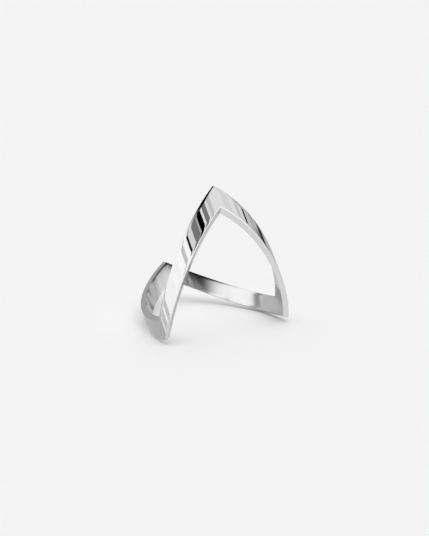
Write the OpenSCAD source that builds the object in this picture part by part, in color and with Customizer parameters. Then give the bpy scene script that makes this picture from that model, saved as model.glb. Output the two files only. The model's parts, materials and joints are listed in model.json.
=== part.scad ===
// A plain polished chevron ring: one band of even width that zigzags once round the finger.
// It rises to a tall point at the front and to a lower point at the back, with a sharp
// corner at each side. The front faces -Y, X runs across the finger and +Z is up.
// The ring stands as it comes to rest by itself, leaning back on its two side corners,
// with the origin on the floor under the middle of its bounding box.

/* [Finger] */
// Inner diameter of the band, an ordinary size 54
finger_d = 17.2; // [14:0.1:22]

/* [Band] */
// Thickness of the metal
wall = 0.72; // [0.5:0.02:1.6]
// Width of the band, square between its two flat edges
band_w = 2.1; // [1.2:0.05:3.5]
// How far the two side corners lie in front of the middle of the finger
corner_forward = 1.1; // [0:0.1:3]

/* [Front point] */
// Angle at which the two front arms climb
front_climb_angle = 30; // [12:0.5:38]
// How far the front edges lean back from square to the finger
front_lean_angle = 39; // [20:0.5:45]

/* [Back point] */
// Angle at which the two back arms climb
back_climb_angle = 29; // [12:0.5:38]
// How far the back edges lean the other way
back_lean_angle = 29.5; // [20:0.5:45]

/* [Hidden] */
$fn = 128;

inner_r = finger_d / 2;
outer_r = inner_r + wall;
// The lower outer tip of the right side corner, at height 0 along the finger
corner_y = -corner_forward;
corner_x = sqrt(outer_r * outer_r - corner_y * corner_y);
// Longer than anything the band can reach
reach = 4 * outer_r;
// Places round the finger, in degrees from the front, at which the band is measured
slice_angles = [0.5:359.5];
rim_angles = [0:0.5:180];
// The search for the lean at rest: its widest lean, steps in a round and finer rounds
widest_lean = 70;
lean_steps = 10;
lean_rounds = 4;

// Ridge of the wedge that bounds an edge, square to its lean, for an edge through the corner
function ridge(climb, lean) = corner_x * tan(climb) + corner_y * sin(lean);
// Distance between the ridges of the lower and upper edge
function edge_step(climb) = band_w / cos(climb);
// Height of a flat edge over a place of the plan
function edge_z(climb, lean, step, x, y) =
    (ridge(climb, lean) + step - abs(x) * tan(climb) - y * sin(lean)) / cos(lean);
function low_z(x, y) = max(
    edge_z(front_climb_angle, front_lean_angle, 0, x, y),
    edge_z(back_climb_angle, -back_lean_angle, 0, x, y));
function high_z(x, y) = max(
    edge_z(front_climb_angle, front_lean_angle, edge_step(front_climb_angle), x, y),
    edge_z(back_climb_angle, -back_lean_angle, edge_step(back_climb_angle), x, y));

function sum(list) = list * [for (i = list) 1];

// Centre of mass of the band, from slices round the finger
slices = [for (a = slice_angles) (inner_r + wall / 2) * [sin(a), -cos(a)]];
slice_low = [for (p = slices) low_z(p.x, p.y)];
slice_high = [for (p = slices) high_z(p.x, p.y)];
slice_h = slice_high - slice_low;
mass_y = slice_h * [for (p = slices) p.y] / sum(slice_h);
mass_z = slice_h * (slice_high + slice_low) / 2 / sum(slice_h);

// Outline of the band seen from the side, as [y, z], before it leans
rims = [for (a = rim_angles, r = [inner_r, outer_r]) r * [sin(a), -cos(a)]];
rim_low = [for (p = rims) [p.y, low_z(p.x, p.y)]];
rim_high = [for (p = rims) [p.y, high_z(p.x, p.y)]];

// A side view point after the ring leans back by an angle
function leant_y(p, lean) = p[0] * cos(lean) + p[1] * sin(lean);
function leant_z(p, lean) = p[1] * cos(lean) - p[0] * sin(lean);
// Height of the centre of mass over the floor at a lean
function mass_over_floor(lean) =
    leant_z([mass_y, mass_z], lean) - min([for (p = rim_low) leant_z(p, lean)]);
// The lean at which the centre of mass stands lowest, found in ever finer steps
function settle(from, to, rounds) =
    let (
        step = (to - from) / lean_steps,
        heights = [for (i = [0:lean_steps]) mass_over_floor(from + i * step)],
        best = from + search(min(heights), heights)[0] * step
    )
    rounds < 1 ? best : settle(best - step, best + step, rounds - 1);
rest_lean = settle(0, widest_lean, lean_rounds);

floor_z = min([for (p = rim_low) leant_z(p, rest_lean)]);
all_y = [for (p = concat(rim_low, rim_high)) leant_y(p, rest_lean)];
middle_y = (min(all_y) + max(all_y)) / 2;

// Everything under one flat-sided ridge that leans over the finger
module under_edge(climb, lean, step) {
    drop = reach * tan(climb);
    rotate([-lean, 0, 0])
        translate([0, 0, ridge(climb, lean) + step])
            rotate([90, 0, 0])
                linear_extrude(height = 2 * reach, center = true)
                    polygon([
                        [0, 0], [-reach, -drop], [-reach, -2 * reach],
                        [reach, -2 * reach], [reach, -drop],
                    ]);
}

// The round sleeve that the band is cut from
module sleeve() {
    difference() {
        cylinder(r = outer_r, h = 2 * reach, center = true);
        cylinder(r = inner_r, h = 3 * reach, center = true);
    }
}

// The whole ring in one piece of metal
module chevron_band() {
    color("silver")
        translate([0, -middle_y, -floor_z])
            rotate([-rest_lean, 0, 0])
                difference() {
                    intersection() {
                        sleeve();
                        union() {
                            under_edge(front_climb_angle, front_lean_angle, edge_step(front_climb_angle));
                            under_edge(back_climb_angle, -back_lean_angle, edge_step(back_climb_angle));
                        }
                    }
                    under_edge(front_climb_angle, front_lean_angle, 0);
                    under_edge(back_climb_angle, -back_lean_angle, 0);
                }
}

chevron_band();
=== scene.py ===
# %% [markdown]
# # A polished chevron ring
# One slim band zigzags once round the finger: a tall point in front, a lower one behind and a sharp
# corner at each side. The metal has no pattern of its own, so its whole look is what it mirrors. This
# lesson makes a mesh that is smooth enough to mirror cleanly, rounds its edges by about a tenth of a
# millimetre and hangs grey panels round it, where the photo's stripes say that they stand.

import json
import math

import bmesh
import bpy
from mathutils import Matrix, Vector


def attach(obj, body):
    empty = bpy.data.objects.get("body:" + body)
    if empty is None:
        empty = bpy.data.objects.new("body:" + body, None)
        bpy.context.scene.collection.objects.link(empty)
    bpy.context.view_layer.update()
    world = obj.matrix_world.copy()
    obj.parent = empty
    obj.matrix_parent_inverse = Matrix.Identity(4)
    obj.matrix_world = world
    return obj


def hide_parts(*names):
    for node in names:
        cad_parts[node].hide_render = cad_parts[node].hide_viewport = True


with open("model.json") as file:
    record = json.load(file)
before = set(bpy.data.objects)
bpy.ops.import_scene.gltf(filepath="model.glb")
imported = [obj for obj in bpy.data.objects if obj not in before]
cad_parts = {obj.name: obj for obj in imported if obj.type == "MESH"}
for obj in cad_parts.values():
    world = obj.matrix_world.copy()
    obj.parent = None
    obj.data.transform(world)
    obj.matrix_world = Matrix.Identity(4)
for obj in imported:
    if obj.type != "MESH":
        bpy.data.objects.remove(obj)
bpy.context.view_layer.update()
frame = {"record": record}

# %% [markdown]
# ## The ring's sizes
# The finger hole comes from the part's own record, so the two can't drift apart. The rest are the
# driving dimensions of the part's source: how thick and wide the metal is, how far the side corners
# lie in front of the finger's middle, how steeply the arms climb and how far their edges lean.

# %%
# Sizes in metres and angles in radians
MM = 0.001
finger_hole = frame["record"]["mounts"][0]
FINGER_RADIUS = finger_hole["dims"]["r_mm"] * MM
WALL = 0.72 * MM
BAND_WIDTH = 2.1 * MM
CORNER_FORWARD = 1.1 * MM
FRONT_CLIMB, FRONT_LEAN = math.radians(30), math.radians(39)
BACK_CLIMB, BACK_LEAN = math.radians(29), math.radians(29.5)

OUTER_RADIUS = FINGER_RADIUS + WALL
CORNER_X = math.sqrt(OUTER_RADIUS**2 - CORNER_FORWARD**2)
print("outer diameter:", round(2 * OUTER_RADIUS / MM, 2), "mm")

# %% [markdown]
# ## Flat edges
# The real band could be filed from a round tube with four flat cuts, two for the front arms and two
# for the back arms. Each cut's height over the plan of the finger is a simple sum, so the mesh doesn't
# need to be sliced: a plain sleeve can be stretched to those heights, which leaves its rows unbroken.


# %%
# Height of the edges, and the place where the front arms turn into the back arms
def edge_height(climb, lean, rise, x, y):
    """Height along the finger of one edge plane, raised by a band's width or by nothing."""
    corner = CORNER_X * math.tan(climb) - CORNER_FORWARD * math.sin(lean)
    ridge = corner + rise / math.cos(climb)
    return (ridge - abs(x) * math.tan(climb) - y * math.sin(lean)) / math.cos(lean)


def arm_heights(rise, x, y):
    """Heights of the front arm's edge and the back arm's edge over one place."""
    front = edge_height(FRONT_CLIMB, FRONT_LEAN, rise, x, y)
    return front, edge_height(BACK_CLIMB, -BACK_LEAN, rise, x, y)


def turning_angle(radius, rise):
    """The angle from the front at which the two edges are equally high."""
    gap, gap_aside, gap_behind = [
        back - front for front, back in (arm_heights(rise, x, y) for x, y in ((0, 0), (1, 0), (0, 1)))
    ]
    aside, behind = gap_aside - gap, gap_behind - gap
    return math.acos(gap / (radius * math.hypot(aside, behind))) - math.atan2(aside, behind)


for side, radius in (("inside", FINGER_RADIUS), ("outside", OUTER_RADIUS)):
    turn = math.degrees(turning_angle(radius, 0))
    print("the lower rim turns at", round(turn, 2), "degrees from the front,", side)

# %% [markdown]
# ## A plain sleeve
# Everything starts from one cross-section of the metal, four corners joined into a rectangle and
# divided into rows. Spun once round the finger it becomes a plain sleeve. Many columns are needed,
# because a polished wall shows every flat facet as a step in its reflections.

# %%
# Spin the cross-section round the finger
COLUMNS = 720
WALL_ROWS = 6
EDGE_ROWS = 3
CLOSE = 0.001 * MM
RIMS = [(radius, rise) for radius in (FINGER_RADIUS, OUTER_RADIUS) for rise in (0, BAND_WIDTH)]


def on_circle(vert, radius):
    """Whether a point of the sleeve is at a radius."""
    return abs(math.hypot(vert.co.x, vert.co.y) - radius) < CLOSE


def spin_sleeve():
    """The sleeve as a bmesh, as high as the band is wide, with its inside given the second material."""
    bm = bmesh.new()
    corners = [
        (FINGER_RADIUS, 0),
        (OUTER_RADIUS, 0),
        (OUTER_RADIUS, BAND_WIDTH),
        (FINGER_RADIUS, BAND_WIDTH),
    ]
    section = [bm.verts.new((0, -radius, height)) for radius, height in corners]
    sides = [bm.edges.new((one, two)) for one, two in zip(section, section[1:] + section[:1])]
    bmesh.ops.subdivide_edges(bm, edges=sides[0::2], cuts=EDGE_ROWS - 1)
    bmesh.ops.subdivide_edges(bm, edges=sides[1::2], cuts=WALL_ROWS - 1)
    bmesh.ops.spin(
        bm,
        geom=bm.verts[:] + bm.edges[:],
        cent=(0, 0, 0),
        axis=(0, 0, 1),
        angle=2 * math.pi,
        steps=COLUMNS,
        use_merge=True,
    )
    for face in bm.faces:
        face.material_index = int(all(on_circle(vert, FINGER_RADIUS) for vert in face.verts))
    return bm


sleeve = spin_sleeve()
print("sleeve:", len(sleeve.verts), "points,", len(sleeve.faces), "faces")

# %% [markdown]
# ## From sleeve to chevrons
# Each point of the sleeve is moved to its place between the lower and the upper edge. Its column is
# shifted a little round the finger too, so that the column at the side lands in the kink of every rim
# and the corners stay crisp lines instead of a saw edge.


# %%
# Stretch the sleeve to the heights of the four cuts
def rim_point(way, radius, rise):
    """The point of a rim at a share of the way from the front point (0) to the back point (1)."""
    turn = turning_angle(radius, rise)
    angle = 2 * way * turn if way < 0.5 else turn + (2 * way - 1) * (math.pi - turn)
    x, y = radius * math.sin(angle), -radius * math.cos(angle)
    return Vector((x, y, max(arm_heights(rise, x, y))))


def chevron_place(point):
    """Where a point of the sleeve lies on the band."""
    radius = math.hypot(point.x, point.y)
    way = math.atan2(abs(point.x), -point.y) / math.pi
    low, high = rim_point(way, radius, 0), rim_point(way, radius, BAND_WIDTH)
    place = low.lerp(high, point.z / BAND_WIDTH)
    back_to_radius = radius / math.hypot(place.x, place.y)
    return Vector(
        (
            math.copysign(place.x * back_to_radius, point.x),
            place.y * back_to_radius,
            place.z,
        )
    )


rim_edges = {
    rim: [
        edge
        for edge in sleeve.edges
        if all(on_circle(vert, rim[0]) and abs(vert.co.z - rim[1]) < CLOSE for vert in edge.verts)
    ]
    for rim in RIMS
}
for vert in sleeve.verts:
    vert.co = chevron_place(vert.co)
bmesh.ops.recalc_face_normals(sleeve, faces=sleeve.faces)
print("columns on each rim:", [len(edges) for edges in rim_edges.values()])

# %% [markdown]
# ## Edges and rest
# No cast edge is knife sharp. The lower outer rim is buffed the most, and the others hardly. Rounding
# comes after the stretch, so that it is even all the way. Then the band tips back on its side corners,
# to the place where it rests on the floor.

# %%
# Round the rims and tip the band
BUFFED = 0.12 * MM
CRISP = 0.03 * MM
ROUNDING_SEGMENTS = 5
SHARP_ANGLE = math.radians(35)


def resting_place():
    """The move from the ring's own axes, with z along the finger, to its place on the floor."""
    axis = Vector(finger_hole["axis"])
    heights = []
    for rise in (0, BAND_WIDTH):
        heights += [rim_point(way, FINGER_RADIUS, rise).z for way in (0, 0.5, 1)]
    middle = (min(heights) + max(heights)) / 2
    tip = Matrix.Rotation(-math.atan2(axis.y, axis.z), 4, "X")
    return Matrix.Translation(finger_hole["pos_m"]) @ tip @ Matrix.Translation((0, 0, -middle))


def finish_band(bm):
    """The rounded band as an object with smooth walls."""
    for (radius, rise), edges in rim_edges.items():
        bmesh.ops.bevel(
            bm,
            geom=edges,
            offset=BUFFED if (radius, rise) == (OUTER_RADIUS, 0) else CRISP,
            offset_type="OFFSET",
            affect="EDGES",
            segments=ROUNDING_SEGMENTS,
            profile=0.5,
            material=-1,
        )
    bmesh.ops.transform(bm, matrix=resting_place(), verts=bm.verts)
    mesh = bpy.data.meshes.new("chevron_band_polished")
    bm.to_mesh(mesh)
    bm.free()
    band = bpy.data.objects.new("chevron_band_polished", mesh)
    bpy.context.collection.objects.link(band)
    for face in mesh.polygons:
        face.use_smooth = True
    mesh.set_sharp_from_angle(angle=SHARP_ANGLE)
    weighted = band.modifiers.new("even normals", "WEIGHTED_NORMAL")
    weighted.keep_sharp = True
    weighted.weight = 100
    return band


band = finish_band(sleeve)
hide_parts("chevron_band")
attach(band, "root")
print("band:", len(band.data.polygons), "faces")

# %% [markdown]
# ## Helpers for materials and light
# Greys are written as a screen shows them, from 0 to 255 or in hex, because that is how they are read
# from a photo. Shaders work in linear light, so one function turns the one into the other.


# %%
# Colours and nodes
def linear(grey):
    """A display grey from 0 to 255 as linear light."""
    share = grey / 255
    return share / 12.92 if share <= 0.04045 else ((share + 0.055) / 1.055) ** 2.4


def colour(hex_code):
    """A display colour such as #D3D3D3 as linear RGBA."""
    return tuple(linear(int(hex_code[i : i + 2], 16)) for i in (1, 3, 5)) + (1.0,)


def add_node(tree, kind, inputs=(), **settings):
    """A node with its settings made and its inputs set or linked, whichever each value asks for."""
    node = tree.nodes.new(kind)
    for name, value in settings.items():
        setattr(node, name, value)
    for socket, value in dict(inputs).items():
        if isinstance(value, bpy.types.NodeSocket):
            tree.links.new(value, node.inputs[socket])
        else:
            node.inputs[socket].default_value = value
    return node


def mixed(tree, factor, first, second):
    """The first colour where the factor is 0 and the second where it is 1."""
    mix = add_node(tree, "ShaderNodeMix", data_type="RGBA")
    for socket, value in zip((mix.inputs[0], mix.inputs[6], mix.inputs[7]), (factor, first, second)):
        if isinstance(value, bpy.types.NodeSocket):
            tree.links.new(value, socket)
        else:
            socket.default_value = value
    return mix.outputs[2]


def new_material(name, base, metallic):
    """A material with its tree, its shader and the object's own coordinates."""
    material = bpy.data.materials.new(name)
    material.use_nodes = True
    tree = material.node_tree
    shader = tree.nodes["Principled BSDF"]
    shader.inputs["Base Color"].default_value = colour(base)
    shader.inputs["Metallic"].default_value = metallic
    place = add_node(tree, "ShaderNodeTexCoord").outputs["Object"]
    return material, tree, shader, place


# %% [markdown]
# ## Polished white gold
# White gold is a pale neutral metal that reflects about two thirds of the light, less than silver
# does. Under a lens its polish isn't a perfect mirror: there is a little haze where it has been handled
# and a faint waviness from hand buffing. Both are kept so weak that they soften the reflections and
# never show as a pattern. The inside is only satin, because a wheel can't reach it as well.

# %%
# The two finishes of the metal
METAL_GREY = "#D3D3D3"
HAZE_SIZE = 3 * MM
HAZE_RANGE = (0.35, 0.7)
GRAIN_DEPTH = 0.02 * MM


def white_gold(name, least_haze, most_haze, grain_size, ripple):
    """White gold from the haze of its clearest and dullest places and the size and ripple of its grain."""
    material, tree, shader, place = new_material(name, METAL_GREY, 1.0)
    haze = add_node(
        tree, "ShaderNodeTexNoise", {"Vector": place, "Scale": 1 / HAZE_SIZE, "Detail": 3.0}
    )
    roughness = add_node(
        tree,
        "ShaderNodeMapRange",
        {
            "Value": haze.outputs["Fac"],
            "From Min": HAZE_RANGE[0],
            "From Max": HAZE_RANGE[1],
            "To Min": least_haze,
            "To Max": most_haze,
        },
    )
    tree.links.new(roughness.outputs["Result"], shader.inputs["Roughness"])
    grain = add_node(
        tree, "ShaderNodeTexNoise", {"Vector": place, "Scale": 1 / grain_size, "Detail": 2.0}
    )
    bump = add_node(
        tree,
        "ShaderNodeBump",
        {"Height": grain.outputs["Fac"], "Strength": ripple, "Distance": GRAIN_DEPTH},
    )
    tree.links.new(bump.outputs["Normal"], shader.inputs["Normal"])
    return material


# name, least and most haze, grain size, ripple
BRIGHT = ("white gold, bright polish", 0.03, 0.05, 0.6 * MM, 0.01)
SATIN = ("white gold, satin inside", 0.14, 0.18, 0.2 * MM, 0.2)
band.data.materials.append(white_gold(*BRIGHT))
band.data.materials.append(white_gold(*SATIN))
print("finishes:", [material.name for material in band.data.materials])

# %% [markdown]
# ## Camera
# The photo looks a little down on the ring, from the left of its front point and through a long lens.

# %%
# The photo's viewpoint
IMAGE_HEIGHT = 536
FOCAL_PIXELS = 1532.5
SENSOR = 36.0
CAMERA_AZIMUTH = math.radians(-31.26)
CAMERA_ELEVATION = math.radians(16.74)
CAMERA_ROLL = math.radians(0.43)
CAMERA_DISTANCE = 202.35 * MM
CAMERA_AIM = Vector((2.048, -1.367, 6.648)) * MM


def add_camera():
    """The camera at the photo's angle, aimed beside the ring's middle to frame it as the photo does."""
    data = bpy.data.cameras.new("photo_camera")
    data.sensor_width = SENSOR
    data.lens = FOCAL_PIXELS / IMAGE_HEIGHT * SENSOR
    data.clip_start = 5 * MM
    data.clip_end = 10.0
    camera = bpy.data.objects.new("photo_camera", data)
    flat = math.cos(CAMERA_ELEVATION)
    back = Vector(
        (
            math.sin(CAMERA_AZIMUTH) * flat,
            -math.cos(CAMERA_AZIMUTH) * flat,
            math.sin(CAMERA_ELEVATION),
        )
    )
    camera.location = CAMERA_AIM + back * CAMERA_DISTANCE
    camera.rotation_mode = "QUATERNION"
    roll = Matrix.Rotation(CAMERA_ROLL, 3, "Z").to_quaternion()
    camera.rotation_quaternion = (-back).to_track_quat("-Z", "Y") @ roll
    bpy.context.collection.objects.link(camera)
    bpy.context.scene.camera = camera
    return data


print("lens:", round(add_camera().lens, 1), "mm")

# %% [markdown]
# ## Floor
# The ring stands on a matt pale floor. A real floor would also show in the metal, but on the outside of
# the band the photo's stripes run on where it would, so there the panels of a later step stand in for
# it. On the inside the floor does show, as the even grey beside the right corner. So the metal sees
# only a round patch of floor under the ring, a hair above the rest. The lamps light it and the ring
# shades it, and its grey is also painted darker than the floor's, as painted shade of the floor under the
# ring.

# %%
# A matt floor and the patch of it that the metal mirrors
MIRRORED_ONLY = ("camera", "diffuse", "transmission", "volume_scatter", "shadow")
FLOOR_GREY = "#F4F4F4"
FLOOR_SIZE = 6.0
FLOOR_CELLS = 8
MATT = 0.9
# the patch's grey is painted shade: darker than the floor's white, standing in for the shade on the floor
# under the ring that the metal mirrors
PATCH_PAINTED_SHADE_GREY = "#DBDBDB"
PATCH_RADIUS = 11 * MM
PATCH_SIDES = 96
PATCH_PLACE = Vector((2.8, 1, 0.01)) * MM


def add_stage(name, bm, material, unseen_by):
    """A piece of the set from its bmesh, which some kinds of rays pass through."""
    mesh = bpy.data.meshes.new(name)
    bm.to_mesh(mesh)
    bm.free()
    mesh.materials.append(material)
    piece = bpy.data.objects.new(name, mesh)
    bpy.context.collection.objects.link(piece)
    for ray in unseen_by:
        setattr(piece, "visible_" + ray, False)


def matt(name, grey):
    """A matt material for the floor."""
    material, _, shader, _ = new_material(name, grey, 0.0)
    shader.inputs["Roughness"].default_value = MATT
    shader.inputs["Specular IOR Level"].default_value = 0.0
    return material


def add_floor():
    """A floor that reaches the horizon, and the patch of it that the metal mirrors."""
    floor = bmesh.new()
    bmesh.ops.create_grid(
        floor, x_segments=FLOOR_CELLS, y_segments=FLOOR_CELLS, size=FLOOR_SIZE / 2
    )
    add_stage("studio_floor", floor, matt("floor, matt white", FLOOR_GREY), ["glossy"])
    patch = bmesh.new()
    bmesh.ops.create_circle(patch, cap_ends=True, segments=PATCH_SIDES, radius=PATCH_RADIUS)
    bmesh.ops.translate(patch, vec=PATCH_PLACE, verts=patch.verts)
    # the patch's darker grey is painted shade of the floor under the ring
    add_stage("mirrored_floor", patch, matt("floor, matt with painted shade", PATCH_PAINTED_SHADE_GREY), MIRRORED_ONLY)


add_floor()
print("floor side:", FLOOR_SIZE, "m")

# %% [markdown]
# ## Lamps
# A broad key lamp overhead, a little behind the ring as the camera sees it, throws the short soft shadow
# under the band, and a fill without a shadow keeps that shadow light. A weak spot on the floor round the
# ring gives back what the whole ring shades off, so that the floor is plain right up to the shadow. The
# metal mirrors none of them.

# %%
# Two broad lamps and a spot
LAMP_POWER = 3.15
KEY_SHARE = 0.42
KEY_SPREAD = 80
FILL_SPREAD = 150
LAMP_TILT = math.radians(8)
SPOT_POWER = 0.0085
SPOT_HEIGHT = 60 * MM
SPOT_REACH = 18 * MM


def add_lamp(name, kind, power, has_shadow):
    """A lamp that the metal doesn't mirror."""
    data = bpy.data.lights.new(name, kind)
    data.energy = power
    data.use_shadow = has_shadow
    lamp = bpy.data.objects.new(name, data)
    lamp.visible_glossy = False
    bpy.context.collection.objects.link(lamp)
    return lamp


def add_sky(name, power, spread, has_shadow):
    """A broad lamp overhead, tilted from behind the ring."""
    lamp = add_lamp(name, "SUN", power, has_shadow)
    lamp.data.angle = math.radians(spread)
    towards_camera = Vector((math.sin(CAMERA_AZIMUTH), -math.cos(CAMERA_AZIMUTH), 0))
    fall = towards_camera * math.sin(LAMP_TILT) - Vector((0, 0, math.cos(LAMP_TILT)))
    lamp.rotation_mode = "QUATERNION"
    lamp.rotation_quaternion = fall.to_track_quat("-Z", "Y")


def add_spot():
    """A spot straight above the ring, brightest under it and fading out all round."""
    lamp = add_lamp("floor_spot", "SPOT", SPOT_POWER, False)
    lamp.data.spot_size = 2 * math.atan(SPOT_REACH / SPOT_HEIGHT)
    lamp.data.spot_blend = 1.0
    lamp.location = (0, 0, SPOT_HEIGHT)


add_sky("overhead_key", KEY_SHARE * LAMP_POWER, KEY_SPREAD, True)
add_sky("overhead_fill", (1 - KEY_SHARE) * LAMP_POWER, FILL_SPREAD, False)
add_spot()
print("spot on the floor:", round(2 * SPOT_REACH / MM), "mm across")

# %% [markdown]
# ## A graded card
# From left to right, the inside of the back arms runs from black through white to grey. Nothing far away
# can do that, since the outside of the band looks in almost the same directions. A photographer would
# hold a small card just over the ring, black with one end fading to white and the other to grey, and so
# does this scene. Its near edge follows the line between what the two walls look at, and only the metal
# sees it.

# %%
# A card over the ring, seen only in the metal
CARD_HEIGHT = 22 * MM
CARD_GREY = 246
# where the card turns from black to white along its heading, and from black to grey to the right
FADE_HEADING = math.radians(237)
FADE = (9.0 * MM, 15.0 * MM)
GREY_END = (32 * MM, 42 * MM)
END_GREY = 180
# the share of the light that the metal gives back, by which a mirrored grey is divided
METAL_SHARE = linear(int(METAL_GREY[1:3], 16))

# columns: x and y of the card's corners in whole millimetres, its near edge first, from left to right
CARD = (
    (-60, 5),
    (-34, -6),
    (-22, -9),
    (-9, -10),
    (-1, -8),
    (3, -5),
    (7, -5),
    (11, -2),
    (35, 4),
    (39, 1),
    (62, 10),
    (62, 20),
    (6, 3),
    (-10, 1),
    (-60, 14),
)


def add_card():
    """A flat card that throws no shadow, black until it fades to white at one end, grey at the other."""
    bm = bmesh.new()
    bm.faces.new([bm.verts.new((x * MM, y * MM, CARD_HEIGHT)) for x, y in CARD])
    material, tree, shader, place = new_material("card, black fading to white", "#000000", 0.0)
    lights = []
    for heading, (start, end), grey in (
        (FADE_HEADING, FADE, CARD_GREY),
        (0, GREY_END, END_GREY),
    ):
        towards = (math.cos(heading), math.sin(heading), 0)
        along = add_node(tree, "ShaderNodeVectorMath", {0: place, 1: towards}, operation="DOT_PRODUCT")
        fade = add_node(
            tree,
            "ShaderNodeMapRange",
            {
                "Value": along.outputs["Value"],
                "From Min": start,
                "From Max": end,
                "To Max": linear(grey) / METAL_SHARE,
            },
        )
        lights.append(fade.outputs["Result"])
    light = add_node(tree, "ShaderNodeMath", dict(enumerate(lights)), operation="MAXIMUM")
    tree.links.new(light.outputs["Value"], shader.inputs["Emission Strength"])
    shader.inputs["Emission Color"].default_value = (1, 1, 1, 1)
    shader.inputs["Specular IOR Level"].default_value = 0.0
    add_stage("graded_card", bm, material, MIRRORED_ONLY)


add_card()
print("card height:", CARD_HEIGHT / MM, "mm")

# %% [markdown]
# ## A tent of panels
# The stripes on the arms are a studio's panels, seen in a round mirror. Ten greys from black to white
# are enough for all of them. Read from left to right, each tier of the tent is a table: where a panel
# ends, as an angle to the right of the camera seen from above, and what it is made of. The tiers are
# stacked in height. They are drawn in the world's shader, which costs no light, and only mirrors see
# them. The ends and greys were chosen to give stripes like the photo's, so they describe one studio
# that would do that, not the studio where the photo was taken.

# %%
# The tiers, from below the horizon to overhead
BACKDROP_GREY = 243

# what the panels are made of, as greys seen in the metal
BLACK = 0
CHARCOAL = 50
SLATE = 115
STONE = 155
ASH = 170
FOG = 190
PALE = 210
LIGHT = 220
OFF_WHITE = 240
WHITE = 246

# columns: where the panel ends in whole degrees right of the camera, what it is made of
FLOOR_TIER = (
    (-104, ASH),
    (-100, LIGHT),
    (-94, FOG),
    (-91, OFF_WHITE),
    (-85, FOG),
    (60, PALE),
    (145, FOG),
    (180, ASH),
)
WALL_TIER = (
    (-130, STONE),
    (-85, FOG),
    (-66, OFF_WHITE),
    (-60, WHITE),
    (-53, OFF_WHITE),
    (-43, WHITE),
    (-37, FOG),
    (88, WHITE),
    (103, PALE),
    (110, LIGHT),
    (114, FOG),
    (120, PALE),
    (123, BLACK),
    (129, FOG),
    (135, ASH),
    (140, SLATE),
    (147, CHARCOAL),
    (180, STONE),
)
CEILING_TIER = (
    (-50, BLACK),
    (-29, WHITE),
    (-24, BLACK),
    (-14, PALE),
    (3, SLATE),
    (8, ASH),
    (23, BLACK),
    (30, LIGHT),
    (44, SLATE),
    (52, LIGHT),
    (63, FOG),
    (91, LIGHT),
    (180, PALE),
)
TOP_TIER = ((-60, ASH), (0, SLATE), (60, CHARCOAL), (180, STONE))
# columns: height in degrees at which the tier ends, its panels
TENT = ((0, FLOOR_TIER), (43, WALL_TIER), (60, CEILING_TIER), (90, TOP_TIER))


def tier_colour(tree, share, panels):
    """The light of one tier of panels, from the bearing as a share of a full turn."""
    ramp = add_node(tree, "ShaderNodeValToRGB", {"Fac": share})
    ramp.color_ramp.interpolation = "CONSTANT"
    stops = ramp.color_ramp.elements
    stops.remove(stops[-1])
    start = -180
    for end, grey in panels:
        place = (start + 180) / 360
        stop = stops[0] if start == -180 else stops.new(place)
        stop.position = place
        stop.color = (linear(grey) / METAL_SHARE,) * 3 + (1.0,)
        start = end
    return ramp.outputs["Color"]


print("panels:", sum(len(panels) for _, panels in TENT))

# %% [markdown]
# ## The world's shader
# The direction that a mirror looks in is turned so that zero is towards the camera's side, and its
# bearing picks the panel in each tier. Its height picks the tier. Where the camera itself looks past
# the floor it sees a plain backdrop.


# %%
# Hang the tent
def add_tent():
    """The tiers as the scene's surroundings."""
    world = bpy.data.worlds.new("studio")
    bpy.context.scene.world = world
    world.use_nodes = True
    world.cycles_visibility.diffuse = False
    tree = world.node_tree
    direction = add_node(tree, "ShaderNodeTexCoord").outputs["Generated"]
    turned = add_node(
        tree,
        "ShaderNodeVectorRotate",
        {"Vector": direction, "Angle": -CAMERA_AZIMUTH},
        rotation_type="Z_AXIS",
    )
    split = add_node(tree, "ShaderNodeSeparateXYZ", {"Vector": turned.outputs["Vector"]})
    front = add_node(tree, "ShaderNodeMath", {0: split.outputs["Y"], 1: -1.0}, operation="MULTIPLY")
    bearing = add_node(
        tree,
        "ShaderNodeMath",
        {0: split.outputs["X"], 1: front.outputs["Value"]},
        operation="ARCTAN2",
    )
    share = add_node(
        tree,
        "ShaderNodeMapRange",
        {"Value": bearing.outputs["Value"], "From Min": -math.pi, "From Max": math.pi},
    ).outputs["Result"]
    light = tier_colour(tree, share, TENT[0][1])
    for (bottom, _), (_, panels) in zip(TENT, TENT[1:]):
        above = add_node(
            tree,
            "ShaderNodeMath",
            {0: split.outputs["Z"], 1: math.sin(math.radians(bottom))},
            operation="GREATER_THAN",
        )
        light = mixed(tree, above.outputs["Value"], light, tier_colour(tree, share, panels))
    seen = add_node(tree, "ShaderNodeLightPath").outputs["Is Camera Ray"]
    backdrop = (linear(BACKDROP_GREY),) * 3 + (1.0,)
    light = mixed(tree, seen, light, backdrop)
    tree.links.new(light, tree.nodes["Background"].inputs["Color"])


add_tent()
bpy.context.scene.view_settings.view_transform = "Standard"
print("tiers end at", [top for top, _ in TENT], "degrees")
